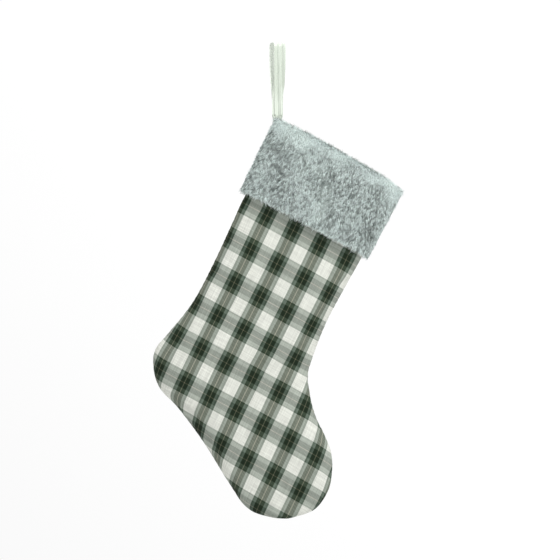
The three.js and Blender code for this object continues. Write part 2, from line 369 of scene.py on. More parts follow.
def plaid_material():
    nodes = Nodes("plaid_cloth", 0.9)
    nodes.shader.inputs["Specular IOR Level"].default_value = 0.15
    uv = nodes.uv("Fabric")
    p, q = nodes.split(uv)
    warp = yarn_bands(nodes, p, WARP_REPEAT, WARP_BANDS)
    weft = yarn_bands(nodes, q, WEFT_REPEAT, WEFT_BANDS)
    # Twill: fine ribs that climb across both yarns
    along_ribs = nodes.math(
        "ADD",
        nodes.math("MULTIPLY", p, math.tau * WARP_REPEAT / TWILL_PITCH * TWILL_ACROSS),
        nodes.math("MULTIPLY", q, math.tau * WEFT_REPEAT / TWILL_PITCH * TWILL_DOWN),
    )
    ribs = nodes.math("SINE", along_ribs)
    share = nodes.math("MULTIPLY_ADD", ribs, 0.12, 1 - WARP_SHARE)
    cloth = nodes.mix(share, warp, weft)
    # Each yarn is a little lighter or darker than the next
    warp_slub = nodes.noise(nodes.scaled(uv, (WARP_REPEAT * 0.6, 1.4, 1)), 1.0, 4.0)
    weft_slub = nodes.noise(nodes.scaled(uv, (1.2, WEFT_REPEAT * 0.6, 1)), 1.0, 4.0)
    slub = nodes.math("ADD", warp_slub, weft_slub)
    level = nodes.math("MULTIPLY_ADD", slub, 0.24, 0.67)
    level = nodes.math("MULTIPLY_ADD", ribs, 0.035, level)
    toned = nodes.mix(1.0, cloth, level, "MULTIPLY")
    nodes.color(nodes.add("ShaderNodeGamma", None, _0=toned, _1=2.2))
    height = nodes.math("MULTIPLY_ADD", slub, 0.5, ribs)
    nodes.bump(height, 0.00012, 0.8)
    nodes.put(nodes.shader.inputs["Roughness"], nodes.math("MULTIPLY_ADD", ribs, 0.05, 0.85))
    return nodes.material


def fur_material():
    """Fibre colours by the strands' own layout: across it the tone of the strand, up it root to tip."""
    nodes = Nodes("faux_fur", 0.55)
    nodes.shader.inputs["Specular IOR Level"].default_value = 0.8
    tone, height = nodes.split(nodes.uv("OFBake"))
    # Roots are darker than tips: partly the fur's own frosted tips, partly painted shade deep in the pile
    dark = nodes.ramp(height, [
        (0.0, linear(48, 58, 51)), (0.5, linear(70, 83, 74)), (1.0, linear(92, 108, 97)),
    ])
    pale = nodes.ramp(height, [
        (0.0, linear(224, 240, 235)), (0.4, linear(242, 255, 251)), (1.0, linear(245, 255, 253)),
    ])
    nodes.color(nodes.mix(tone, dark, pale))
    nodes.sheen(1.0, 0.5, linear(240, 250, 250))
    return nodes.material


def fur_skin_material():
    """The knitted ground that the fur grows from."""
    nodes = Nodes("fur_ground", 0.95)
    place = nodes.place()
    patch = nodes.noise(place, 260.0, 3.0)
    nodes.color(nodes.ramp(patch, [(0.3, linear(140, 150, 146)), (0.7, linear(186, 198, 194))]))
    nodes.bump(nodes.noise(place, 900.0, 2.0), 0.0004)
    return nodes.material


def satin_material():
    nodes = Nodes("satin_ribbon", 0.42)
    uv = nodes.uv("Fabric")
    fine = nodes.noise(nodes.scaled(uv, (1.6, 0.05, 1)), 1.0, 3.0)
    broad = nodes.noise(nodes.scaled(uv, (0.34, 0.02, 1)), 1.0, 1.0)
    both = nodes.math("MULTIPLY_ADD", fine, 0.4, nodes.math("MULTIPLY", broad, 0.6))
    # Lengthwise streaks in the satin's colour: painted shade and sheen of its fine folds
    satin_painted_streaks = nodes.ramp(fine, [(0.35, linear(182, 191, 178)), (0.65, linear(198, 206, 194))])
    # The strand nearer the wall is painted paler: painted light, lifting it out of the front strand's shade
    behind = nodes.math("MULTIPLY_ADD", nodes.split(nodes.place())[1], 100.0, 0.5)
    far = nodes.ramp(behind, [(0.3, (0, 0, 0)), (0.7, (1, 1, 1))])
    nodes.color(nodes.mix(far, satin_painted_streaks, (*linear(232, 238, 229), 1)))
    nodes.bump(both, 0.0004, 0.6)
    nodes.shader.inputs["Anisotropic"].default_value = 0.4
    nodes.sheen(0.2, 0.3, linear(235, 238, 230))
    return nodes.material


def lining_material():
    nodes = Nodes("lining_cloth", 0.72)
    grain = nodes.noise(nodes.scaled(nodes.place(), (900, 900, 240)), 1.0, 2.0)
    nodes.color(nodes.ramp(grain, [(0.3, linear(214, 212, 203)), (0.7, linear(230, 228, 220))]))
    nodes.bump(grain, 0.00006, 0.6)
    return nodes.material


def wadding_material():
    nodes = Nodes("wadding", 1.0)
    wisps = nodes.noise(nodes.place(), 180.0, 5.0)
    nodes.color(nodes.ramp(wisps, [(0.3, linear(226, 225, 220)), (0.7, linear(244, 243, 240))]))
    nodes.bump(wisps, 0.001, 0.8)
    return nodes.material


def thread_material():
    nodes = Nodes("thread", 0.6)
    ply = nodes.add("ShaderNodeTexWave", None, _0=nodes.place(), _1=900.0, _2=2.0)
    nodes.color(nodes.ramp(ply, [(0.0, linear(186, 190, 180)), (1.0, linear(214, 217, 208))]))
    nodes.bump(ply, 0.0001)
    return nodes.material


PLAID = plaid_material()
FUR = fur_material()
FUR_SKIN = fur_skin_material()
SATIN = satin_material()
LINING = lining_material()
WADDING = wadding_material()
THREAD = thread_material()

# ---------- the leg's layers

LEG_STEP = 4  # spacing of the leg's rows
HALF_COLUMNS = 48  # spaces across a panel
SIDES = {"front": -1, "back": 1}


def section(across):
    """Half depth of a section of the leg, as a share of its middle's, at places -1 to 1 across."""
    return np.sqrt(np.clip(1 - np.abs(across) ** 3, 0, 1))


def half_depth(share):
    into = np.clip((share - TOE_ROUNDS_FROM) / (1 - TOE_ROUNDS_FROM), 0, 1)
    return HALF_DEPTH * np.sqrt(1 - into**2)


def share_of_depth(depth):
    """The share of the leg's length where its half depth has closed to this."""
    return TOE_ROUNDS_FROM + (1 - TOE_ROUNDS_FROM) * math.sqrt(1 - (depth / HALF_DEPTH) ** 2)


def even_shares(last):
    """Shares of the leg's length, up to `last`, whose ribs are evenly spaced along its middle."""
    fine = np.linspace(0, last, 2000)
    line = (curve_points(HEEL_EDGE, fine) + curve_points(TOE_EDGE, fine)) / 2
    depth = half_depth(fine)[:, None]
    length = run_length(np.hstack([line, depth]))
    return np.interp(np.linspace(0, length[-1], int(length[-1] / LEG_STEP)), length, fine)


def leg_grid(inset, side):
    """One half of the leg, `inset` inside its outer face, and the same points on the flat cloth."""
    share = even_shares(share_of_depth(inset))
    heel, toe = curve_points(HEEL_EDGE, share), curve_points(TOE_EDGE, share)
    middle = (heel + toe) / 2
    half = np.linalg.norm(toe - heel, axis=-1) / 2
    rib = (toe - middle) / half[:, None]
    depth = half_depth(share) - inset
    theta = np.linspace(math.pi / 2, -math.pi / 2, HALF_COLUMNS + 1)
    across = np.sin(theta)
    reach = (half - inset)[:, None] * across
    rise = depth[:, None] * section(across)
    flat = middle[:, None] + rib[:, None] * reach[..., None]
    grid = np.stack([flat[..., 0], side * rise, flat[..., 1]], -1)
    # The flat cloth: as far from the middle as the surface runs, and longer where the toe closes
    steps = np.hypot(np.diff(reach, axis=1), np.diff(rise, axis=1))
    run = np.hstack([np.zeros((len(share), 1)), np.cumsum(steps, axis=1)])
    run = run[:, HALF_COLUMNS // 2, None] - run
    line_run = run_length(np.hstack([middle, depth[:, None]])) - run_length(middle)
    middle = middle + unit(np.gradient(middle, axis=0)) * line_run[:, None]
    return grid, middle[:, None] + rib[:, None] * run[..., None]


# The plaid on the flat cloth: where a dark check's centre is, and one repeat each way
DARK_CHECK = np.array([-44.2, 116.5])
REPEATS = np.array([[39.3, 0.9], [1.7, 49.0]])
# The cloth is drawn a little up the leg in sewing: most here, fading over this distance
DRAWN_CENTRE, DRAWN_REACH = np.array([60, 350]), 130
DRAWN = np.array([2.7, 3.7])
BACK_SHIFT = np.array([0.37, 0.21])  # the back panel is cut from another part of the cloth


def plaid_uv(flat, side):
    away = lengths(flat - DRAWN_CENTRE)
    flat = flat + DRAWN * np.exp(-((away / DRAWN_REACH) ** 2))
    counted = (flat - DARK_CHECK) @ np.linalg.inv(REPEATS)
    return counted + (BACK_SHIFT if side > 0 else 0)


SIM_FRAMES = 22
SIM_GROWTH = -0.012  # below zero the cloth grows, by this share
SIM_SMOOTHING = 3  # passes over what the simulation moved
MOST_MOVED, MOST_SUNK = 1.6, 0.5  # how far a point may move, and how far towards the other panel


def settle(tube, pinned):
    """Runs the leg's cloth as a slightly oversized bag, puffed out by pressure, and returns where it settles.
    """
    rows, columns = tube.shape[:2]
    mesh = bpy.data.meshes.new("bag")
    mesh.from_pydata((tube * MM).reshape(-1, 3).tolist(), [], tube_faces(rows, columns).tolist())
    bag = bpy.data.objects.new("bag", mesh)
    SCENE.collection.objects.link(bag)
    group = bag.vertex_groups.new(name="held")
    group.add(np.flatnonzero(pinned.ravel()).tolist(), 1.0, "REPLACE")
    modifier = bag.modifiers.new("cloth", "CLOTH")
    cloth = modifier.settings
    cloth.quality = 7
    cloth.mass = 0.25
    cloth.tension_stiffness = cloth.compression_stiffness = 18
    cloth.shear_stiffness = 6
    cloth.bending_stiffness = 1.2
    cloth.air_damping = 6
    cloth.shrink_min = SIM_GROWTH
    cloth.use_pressure = True
    cloth.uniform_pressure_force = 0.6
    cloth.vertex_group_mass = "held"
    cloth.effector_weights.gravity = 0
    modifier.point_cache.frame_start = 1
    modifier.point_cache.frame_end = SIM_FRAMES
    for number in range(1, SIM_FRAMES + 1):
        SCENE.frame_set(number)
    shown = bag.evaluated_get(bpy.context.evaluated_depsgraph_get())
    settled = np.zeros(rows * columns * 3, np.float32)
    shown.data.vertices.foreach_get("co", settled)
    bpy.data.objects.remove(bag)
    bpy.data.meshes.remove(mesh)
    SCENE.frame_set(1)
    moved = settled.reshape(tube.shape).astype(float) / MM - tube
    for _ in range(SIM_SMOOTHING):
        moved[1:-1] = (moved[:-2] + 2 * moved[1:-1] + moved[2:]) / 4
        moved = (np.roll(moved, 1, 1) + 2 * moved + np.roll(moved, -1, 1)) / 4
        moved[pinned] = 0
    moved *= np.minimum(1, MOST_MOVED / np.maximum(lengths(moved), 1e-6))
    outward = np.sign(tube[..., 1])
    moved[..., 1] = np.where(moved[..., 1] * outward < -MOST_SUNK, -MOST_SUNK * outward, moved[..., 1])
    return tube + moved


# Soft folds: where each starts on the flat leg, its direction, length, width and height
FOLDS = [
    ((97, 271), (-1.0, 0.16), 46, 5.5, -1.3),
    ((98, 283), (-1.0, 0.42), 40, 6.0, 1.0),
    ((104, 292), (-0.9, 0.62), 34, 5.0, -0.9),
    ((-84, 300), (0.9, -0.20), 46, 7.0, -0.8),
    ((-90, 352), (0.8, -0.45), 44, 7.0, -0.7),
    ((-88, 130), (1.0, 0.30), 50, 9.0, -0.6),
    ((92, 142), (-1.0, 0.24), 52, 9.0, -0.7),
    ((150, 330), (-0.6, 0.80), 36, 7.0, -0.5),
]


FOLD_RISE = 8  # each fold comes up over this length


def fold_height(across, down):
    total = 0
    for (x, z), (dx, dz), length, width, height in FOLDS:
        size = math.hypot(dx, dz)
        dx, dz = dx / size, dz / size
        along = (across - x) * dx + (down - z) * dz
        aside = (across - x) * dz - (down - z) * dx
        fade = smooth(along / FOLD_RISE + 0.5) * smooth((length - along) / length * 1.4)
        total = total + height * fade * np.exp(-((aside / width) ** 2))
    return total


def relax_and_fold(front, back):
    """The bag's two halves after settling, with its folds pressed in and its seams drawn in."""
    tube = np.concatenate([front[:, :-1], back[:, ::-1][:, :-1]], 1)
    pinned = np.zeros(tube.shape[:2], bool)
    pinned[0], pinned[-1] = True, True
    pinned[:, 0] = pinned[:, HALF_COLUMNS] = True
    tube = settle(tube, pinned)
    tube = np.concatenate([tube, tube[:, :1]], 1)
    halves = tube[:, : HALF_COLUMNS + 1], tube[:, HALF_COLUMNS:][:, ::-1]
    return [draw_in_seams(half) for half in halves]


SEAM_REACH, SEAM_DEPTH = 7, 0.8  # how far in from a seam the panel is drawn in, and how much
SEAM_FADE = 2.2
PUCKER_PITCH, PUCKER = 9, 0.2
SEAM_GAP = 0.12  # between each panel's edge and the middle of the seam


def draw_in_seams(half):
    half = press_folds(finer(half))
    for near, inward in ((0, 1), (-1, -1)):
        edge = half[:, near][:, None]
        away = np.linalg.norm(half - edge, axis=-1)
        toward = half[:, near + inward * 20] - half[:, near]
        toward[:, 1] = 0
        toward /= np.maximum(lengths(toward), 1e-6)
        run = run_length(half[:, near])[:, None]
        pucker = 1 + PUCKER * np.sin(math.tau * run / PUCKER_PITCH + 2 * wander(run, run, 60, 3))
        draw = SEAM_DEPTH * np.exp(-((away / SEAM_REACH * SEAM_FADE) ** 2)) * pucker
        half += toward[:, None] * draw[..., None]
    return half


def belongs(piece, side):
    """Bakes a front piece's place into its points, and attaches a back piece to the stocking's body."""
    if side < 0:
        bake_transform(piece)
    else:
        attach(piece, "stocking")


PLAID_PLY, WADDING_PLY, LINING_PLY = 0.9, 2.6, 0.45  # each layer's thickness
WADDING_INSET, LINING_INSET = 2.2, 6.1  # how far in each layer's outer face is
FACED_ROWS = 3  # the wadding and lining start this many rows down, under the cuff's facing


def build_leg():
    """Returns the back panel and its flat points."""
    grids = {half: leg_grid(0.0, side) for half, side in SIDES.items()}
    settled = relax_and_fold(grids["front"][0], grids["back"][0])
    for (half, side), shape in zip(SIDES.items(), settled):
        shape[:, [0, -1], 1] = side * SEAM_GAP
        shape[-1, :, 1] = side * SEAM_GAP
        flat = grids[half][1]
        uv = plaid_uv(finer(flat), side)
        outer = sheet_object(f"plaid_{half}", hang(shape), -PLAID_PLY * MM * side, PLAID, uv)
        belongs(outer, side)
        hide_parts(f"shell_{half}")
        build_wadding(half, side)
        build_lining(half, side)
    return outer, flat




def press_folds(grid):
    """The leg's soft folds, pressed into a layer's middle and fading out at its seams."""
    toward = np.sign(grid[..., 1]) * smooth(np.abs(grid[..., 1]) / 10)
    grid[..., 1] += fold_height(grid[..., 0], grid[..., 2]) * toward
    return grid


def build_wadding(half, side):
    outer, _ = leg_grid(WADDING_INSET, side)
    outer = press_folds(outer[FACED_ROWS:])
    outer[..., 1] -= side * 0.3 * (1 + wander(outer[..., 0], outer[..., 2], 22, 5))
    outer[..., 1] = side * np.maximum(side * outer[..., 1], 0.4)
    pad = sheet_object(f"wadding_{half}_pad", hang(outer), -WADDING_PLY * MM * side, WADDING)
    belongs(pad, side)
    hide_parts(f"wadding_{half}")


def build_lining(half, side):
    outer, flat = leg_grid(LINING_INSET, side)
    outer, flat = outer[FACED_ROWS:], flat[FACED_ROWS:]
    ripple = 0.25 * wander(outer[..., 0] * 0.5, outer[..., 2], 30, 7)
    ripple = ripple * smooth(np.abs(outer[..., 1]) / 6)
    outer[..., 1] = side * np.maximum(side * outer[..., 1] - 0.3 + ripple, 0.2)
    name = f"lining_{half}_cloth"
    cloth = sheet_object(name, hang(outer), -LINING_PLY * MM * side, LINING)
    belongs(cloth, side)
    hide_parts(f"lining_{half}")


back_panel = build_leg()

# ---------- the fur cuff

# Offsets are from the leg's face, and drops are from the fold
GROUND, FACING = 7.6, -8.1  # offsets of the ground outside and of its facing inside
GROUND_THICKNESS = 1.0
FACING_DROP = 29.5
HEM_TOP, HEM_OFFSET = 88, 4.6  # where the turned-up hem ends
FOOT_RISE, FOOT_BEND = 2.2, 1.2  # how far over the cuff's foot the ground turns, and how deep that turn is
FOLD_TOP = 1.2
PROFILE_STEP = 1.5
LIFT_AT_RIBBON, DOME = 3.4, 1.6  # how far the fold rises at the ribbon, and in its middle
HEEL_CORNER, TOE_CORNER = 6.0, 5.5  # how far the fold's two ends are squared off outwards
HEEL_DROP, TOE_DROP = 20, 36  # how far down that goes
TOE_SAG = 3.5  # how far the toe-side end sags
RAISED_DROP = 45  # the rise has faded out this far down
OUTER_ROLL, INNER_ROLL = 12, 7  # how far down each side of the fold is still curved
ENDS_FROM, ENDS_OVER = 0.8, 0.2  # the share across where the ends start, and their own share
CUFF_COLUMNS = 64
CUFF_GAP = 0.15  # between each half's edge and the middle of the cuff's side seam
FINE_COLUMNS = 400  # points round one half of the mouth, for measuring along it


def cuff_profile():
    """The cuff's ground, from its turned-up hem round the foot, up, over the fold and down inside."""
    line = [(HEM_OFFSET, HEM_TOP)]
    middle, reach = (HEM_OFFSET + GROUND) / 2, (GROUND - HEM_OFFSET) / 2
    for a in np.linspace(-math.pi / 2, math.pi / 2, 9):
        line.append((middle + reach * math.sin(a), CUFF_DROP - FOOT_RISE + FOOT_BEND * math.cos(a)))
    middle, reach = (GROUND + FACING) / 2, (GROUND - FACING) / 2
    for a in np.linspace(0, math.pi, 41):
        roll = OUTER_ROLL if a < math.pi / 2 else INNER_ROLL
        line.append((middle + reach * math.cos(a), FOLD_TOP + roll * (1 - math.sin(a))))
    line = np.array([*line, (FACING, FACING_DROP)])
    length = run_length(line)
    at = np.linspace(0, length[-1], int(length[-1] / PROFILE_STEP) + 1)
    return np.stack([np.interp(at, length, line[:, 0]), np.interp(at, length, line[:, 1])], -1), at


def round_mouth(offset, down, theta, side):
    """Leg-frame points on a surface carried round the mouth. Theta runs from 90 to -90 degrees."""
    share = down / CUFF_DROP
    centre = MOUTH_CENTRE + (CUFF_FOOT_CENTRE - MOUTH_CENTRE) * share
    half = MOUTH_HALF_WIDTH + (CUFF_FOOT_HALF_WIDTH - MOUTH_HALF_WIDTH) * share
    across = np.sin(theta)
    heel_end, toe_end = (smooth((way * across - ENDS_FROM) / ENDS_OVER) for way in (-1, 1))
    raised = LIFT_AT_RIBBON * smooth((1 - across) / 2) + DOME * (1 - across**2) - TOE_SAG * toe_end
    from_ridge = (offset - (GROUND + FACING) / 2) / ((GROUND - FACING) / 2)
    squared = np.clip(1 - from_ridge**2, 0, 1) * smooth(1 - down / np.where(across < 0, HEEL_DROP, TOE_DROP))
    offset = offset + (HEEL_CORNER * heel_end + TOE_CORNER * toe_end) * squared
    down = down - raised * smooth(1 - down / RAISED_DROP)
    out = side * (HALF_DEPTH + offset) * section(across)
    return np.stack([centre + (half + offset) * across, out, down], -1)


def build_cuff_ground(half, side):
    profile, at = cuff_profile()
    theta = np.linspace(math.pi / 2, -math.pi / 2, CUFF_COLUMNS + 1)
    offset, down = profile[:, :1], profile[:, 1:]
    theta, offset, down = np.broadcast_arrays(theta, offset, down)
    waves = 0.5 * wander(theta * 80, down * 0.4, 45, 11)
    grid = round_mouth(offset + waves * (offset > 0), down, theta, side)
    grid[:, [0, -1], 1] = side * CUFF_GAP
    width = float(run_length(grid[len(grid) // 2])[-1])
    name = f"cuff_{half}_ground"
    ground = sheet_object(name, hang(grid), GROUND_THICKNESS * MM * side, FUR_SKIN)
    belongs(ground, side)
    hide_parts(f"cuff_{half}", f"cuff_hem_{half}")
    return ground, width, float(at[-1])


FIRST_RUN = 8.5  # the run where the hem comes round to the outside
INSIDE_RUN = 16  # strands from this far before the fold's top on are in the inside piece
RIDGE = 4  # the hairs that stand over the fold are darker, and are rooted this far inside it
# A band below the fold, painted paler: partly frosted tips, partly painted light from above
PALE_BAND_RUN, PALE_BAND_WAVE, PALE_BAND_WIDTH = 10, 3, 8.5  # how far before the fold its middle is, its waver, its width
FOOT_RUN, FOOT_WIDTH = 3, 4.5  # the same band at the foot
TUFT_ALONG, TUFT_AROUND = 4.6, 2.9  # usual spacing of the tufts
TUFT_TABLE = 97  # the tufts' random values repeat after this many rows and columns
# Strands per square millimetre, length, radius, lift in degrees, whether they bend, how far the tips gather
# into tufts, the tone in a tuft's middle, how much darker the gaps between tufts are painted as shade, how
# far tufts differ
UNDERCOAT = {
    "density": 1.3, "length": 3.8, "radius": 0.27, "lift": 26, "bends": False,
    "gather": 0.2, "tone": 0.92, "gap_shade": 1.35, "spread": 0.9,
}
GUARD_HAIRS = {
    "density": 0.34, "length": 6.2, "radius": 0.34, "lift": 29, "bends": True,
    "gather": 0.65, "tone": 1.15, "gap_shade": 0.8, "spread": 1.1,
}


def line_round_mouth(offset, down, side):
    """The angles, and the points at them, of a level line round one half of the mouth."""
    theta = np.linspace(math.pi / 2, -math.pi / 2, FINE_COLUMNS)
    return theta, round_mouth(np.full(FINE_COLUMNS, offset), np.full(FINE_COLUMNS, down), theta, side)


class CuffFace:
    """The outside of one half's ground, by the run up its profile and the run round the mouth."""

    def __init__(self, side):
        self.side = side
        self.profile, self.at = cuff_profile()
        self.theta, middle = line_round_mouth(GROUND, 50.0, side)
        self.sweep = run_length(middle)
        self.fold = self.at[np.argmin(self.profile[:, 1])]

    def point(self, t, s):
        offset = np.interp(t, self.at, self.profile[:, 0])
        down = np.interp(t, self.at, self.profile[:, 1])
        return round_mouth(offset, down, np.interp(s, self.sweep, self.theta), self.side)

    def directions(self, t, s):
        """Unit steps up the profile, round the mouth, and out of the face."""
        up = unit(self.point(t + 0.5, s) - self.point(t - 0.5, s))
        around = unit(self.point(t, s + 0.5) - self.point(t, s - 0.5))
        return up, around, unit(np.cross(around, up)) * -self.side


def scattered(face, density, rng):
    """Evenly scattered runs (up the profile, round the mouth) over the face."""
    height, width = face.at[-1] - FIRST_RUN, face.sweep[-1]
    rows, columns = int(height * math.sqrt(density)), int(width * math.sqrt(density))
    t, s = np.meshgrid(np.arange(rows), np.arange(columns), indexing="ij")
    t = (t + rng.uniform(0, 1, t.shape)).ravel() / rows * height + FIRST_RUN
    s = (s + rng.uniform(0, 1, s.shape)).ravel() / columns * width
    return t, s


def nearest_tuft(t, s, seed):
    """The nearest tuft to each point: steps to its middle, how far off that is in tufts, its own value."""
    table = np.random.default_rng(seed).uniform(0, 1, (3, TUFT_TABLE, TUFT_TABLE))
    row, column = np.floor(t / TUFT_ALONG).astype(int), np.floor(s / TUFT_AROUND).astype(int)
    best = np.full(t.shape, np.inf)
    step_t, step_s, value = np.zeros((3, *t.shape))
    for r, c in itertools.product((row - 1, row, row + 1), (column - 1, column, column + 1)):
        shift_t, shift_s, own = table[:, r % TUFT_TABLE, c % TUFT_TABLE]
        to_t, to_s = (r + shift_t) * TUFT_ALONG - t, (c + shift_s) * TUFT_AROUND - s
        off = np.hypot(to_t / TUFT_ALONG, to_s / TUFT_AROUND)
        nearer = off < best
        best = np.where(nearer, off, best)
        step_t, step_s = np.where(nearer, to_t, step_t), np.where(nearer, to_s, step_s)
        value = np.where(nearer, own, value)
    return step_t, step_s, best, value


def coat_of_fur(face, coat, seed):
    """Root, middle and tip of each strand in the leg's frame, its tone, and its run up the profile."""
    rng = np.random.default_rng(seed)
    t, s = scattered(face, coat["density"], rng)
    point = face.point(t, s)
    up, around, normal = face.directions(t, s)
    # Paler below the fold and at the foot: at the foot frosted tips; below the fold partly frosted tips and
    # partly painted light that the fold's upper face catches from above
    band = (t - face.fold + PALE_BAND_RUN + PALE_BAND_WAVE * wander(s, t, 36, 3)) / PALE_BAND_WIDTH
    frost_and_painted_light = np.clip(np.exp(-(band**2)) * (0.95 + 0.45 * wander(s, t, 50, 5)), 0, 1)
    foot = np.exp(-(((t - FIRST_RUN - FOOT_RUN) / FOOT_WIDTH) ** 2))
    length = coat["length"] * (0.55 + 0.45 * smooth((t - FIRST_RUN) / 9))
    length = length * np.clip(rng.normal(1, 0.2, t.shape), 0.4, 1.5)
    lean = 0.3 * wander(s, t, 34, 1) + rng.normal(0, 0.3, t.shape)
    lift = math.radians(coat["lift"]) * (1 - 0.35 * frost_and_painted_light) + rng.normal(0, 0.16, t.shape)
    lift += 0.12 * wander(s, t, 24, 2)
    # Tips near one tuft's middle gather to it and share its tone
    reach = length * np.cos(lift)
    tip_t, tip_s = t - reach * np.cos(lean), s + reach * np.sin(lean)
    step_t, step_s, off, value = nearest_tuft(tip_t, tip_s, 8)
    gather = coat["gather"] * (step_t[:, None] * up + step_s[:, None] * around)
    nap = -up * np.cos(lean)[:, None] + around * np.sin(lean)[:, None]
    rise = np.sin(lift)[:, None] * normal + np.cos(lift)[:, None] * nap
    lay = np.sin(lift * 0.4)[:, None] * normal + np.cos(lift * 0.4)[:, None] * nap
    bend = point + rise * (length * 0.5)[:, None] + 0.25 * gather
    tip = bend + (lay if coat["bends"] else rise) * (length * 0.5)[:, None] + 0.75 * gather
    # Strands away from a tuft's middle are painted darker: painted shade in the gaps between tufts
    tone = coat["tone"] - coat["gap_shade"] * smooth((off - 0.2) / 0.6) + coat["spread"] * (value - 0.5)
    tone += 0.08 * rng.normal(0, 1, t.shape) + 0.16 * wander(s, t, 40, 4) + 0.5 * foot
    tone += np.maximum(1.05 - tone, 0) * frost_and_painted_light
    tone -= 0.8 * np.exp(-(((t - face.fold - RIDGE) / RIDGE) ** 2))
    return point, bend, tip, np.clip(tone, 0.02, 0.98), t


def strand_rings(root, bend, tip, radius, bends):
    """Points of closed three-sided strands that taper to their tips, and one strand's faces."""
    along = unit(tip - root)
    first = unit(np.cross(along, np.array([0.31, 0.17, 0.93])))
    second = np.cross(along, first)
    spread = np.arange(3) * math.tau / 3
    ring = np.cos(spread)[:, None] * first[:, None] + np.sin(spread)[:, None] * second[:, None]
    rings = [root[:, None] + radius * ring]
    faces = [(2, 1, 0)]
    if bends:
        rings.append(bend[:, None] + radius * 0.8 * ring)
        faces += [(i, (i + 1) % 3, 3 + (i + 1) % 3) for i in range(3)]
        faces += [(i, 3 + (i + 1) % 3, 3 + i) for i in range(3)]
    last = 3 * (len(rings) - 1)
    faces += [(last + i, last + (i + 1) % 3, last + 3) for i in range(3)]
    heights = np.repeat([0.01, 0.5], 3)[: 3 * len(rings)]
    return np.concatenate([*rings, tip[:, None]], 1), np.array(faces), np.append(heights, 0.99)


TONE_SPREAD = np.array([-1, 1, 0]) * 0.004  # gives each strand a little width on its colour map


def fur_object(name, coats):
    """One piece of fur from several coats of [root, bend, tip, tone, coat]."""
    all_points, all_faces, all_uv, start = [], [], [], 0
    for root, bend, tip, tone, coat in coats:
        points, faces, height = strand_rings(root, bend, tip, coat["radius"], coat["bends"])
        size = points.shape[1]
        first = start + np.arange(len(root))[:, None, None] * size
        all_points.append(points.reshape(-1, 3))
        all_faces.append((first + faces[None]).reshape(-1, 3))
        u = tone[:, None] + np.resize(TONE_SPREAD, size)
        all_uv.append(np.stack(np.broadcast_arrays(u, height[None]), -1).reshape(-1, 2))
        start += len(root) * size
    points = hang(np.concatenate(all_points))
    faces, uv = np.concatenate(all_faces), np.concatenate(all_uv)
    return new_object(name, points, faces, FUR, uv, "OFBake")


def build_fur(half, side, seed):
    face = CuffFace(side)
    coats = []
    for number, coat in enumerate((UNDERCOAT, GUARD_HAIRS)):
        coats.append((coat_of_fur(face, coat, seed + 100 * number), coat))
    furs = []
    for part, inside in (("outside", False), ("inside", True)):
        chosen = []
        for (*strands, t), coat in coats:
            mask = (t > face.fold - INSIDE_RUN) == inside
            chosen.append((*(values[mask] for values in strands), coat))
        fur = fur_object(f"fur_{half}_{part}", chosen)
        belongs(fur, side)
        furs.append(fur)
    return furs


def build_cuffs():
    for seed, (half, side) in enumerate(SIDES.items()):
        ground, width, length = build_cuff_ground(half, side)
        furs = build_fur(half, side, 20 + 10 * seed)


build_cuffs()

# ---------- the ribbon

RIBBON_WIDTH, NECK_WIDTH, TAIL_WIDTH = 15.2, 14.2, 8.8
RIBBON_COLUMNS = 28
RIBBON_THICKNESS = 0.35
TAIL_STRAIGHT = 7  # how far into the cuff the tail still hangs straight
TAIL_SHIFT = 3.0  # the tail's end lies this far towards the toe side of the point it hangs from
STRAND_SHIFT = 3.1  # each strand of the loop lies this far to its own side
STRANDS_PART = 30  # over this height above the neck they part
NECK_TAPER, TAIL_TAPER = 0.45, 2.5  # the share of the loop that narrows, and how fast the tail does
PLY_GAP = 0.75  # from the middle plane to each strand, where they meet
CREASES_FROM = -8  # the creases deepen from this height down to the neck
# Heights for the loop, and distances each side of the neck's and the tail's joint, handed to each ribbon
# piece
LOOP_BLEND, NECK_BLEND, TAIL_BLEND = (-12, LOOP_BOTTOM + 5), 2.4, 3.5


CROWN = CROWN_RADIUS + 0.4  # radius of the ribbon's middle over the crown
CROWN_CENTRE = -CROWN_RADIUS * math.cos(math.pi / 14)  # the CAD crown is faceted, with a flat on top


def ribbon_line():
    """Y and z of the ribbon's middle: up the front strand, over the crown and down the back one."""
    up = np.linspace(0, 1, 40)[:-1]
    y = PLY_GAP + (CROWN - PLY_GAP) * smooth(up)
    z = LOOP_BOTTOM + (CROWN_CENTRE - LOOP_BOTTOM) * up
    angle = np.linspace(0, math.pi, 25)
    crown_y, crown_z = -CROWN * np.cos(angle), CROWN_CENTRE + CROWN * np.sin(angle)
    return np.concatenate([-y, crown_y, y[::-1]]), np.concatenate([z, crown_z, z[::-1]])


def creases(x, z):
    """How far the gathered ribbon stands out of its plane, at x across the loop."""
    gather = smooth((z - CREASES_FROM) / (LOOP_BOTTOM - CREASES_FROM))
    wave = np.sin(x + 2.4 + 0.012 * z) + 0.5 * np.sin(x * 2.3 + 2.1 + z * 0.012)
    return (0.35 + 0.6 * gather) * wave + 0.15 * np.sin(x * 0.55 + z * 0.05)


def strip(centre_x, half_width, y, z, out_y):
    """Grid of a ribbon strip along a line of [y, z], creased across its width."""
    share = np.linspace(-1, 1, RIBBON_COLUMNS + 1)
    x = centre_x[:, None] + half_width[:, None] * share
    stand = creases(x, z[:, None]) + 0 * x
    return np.stack([x, y[:, None] + np.abs(out_y)[:, None] * stand, z[:, None] + 0 * x], -1)


def ribbon_width(z):
    return NECK_WIDTH + (RIBBON_WIDTH - NECK_WIDTH) * smooth((z - LOOP_BOTTOM) / (-LOOP_BOTTOM * NECK_TAPER))


def ribbon_uv(grid):
    """Across and along the ribbon, in millimetres."""
    columns = grid.shape[1]
    across = np.linspace(0, RIBBON_WIDTH, columns)
    along = run_length(grid[:, columns // 2])
    return np.stack(np.broadcast_arrays(across[None], along[:, None]), -1)


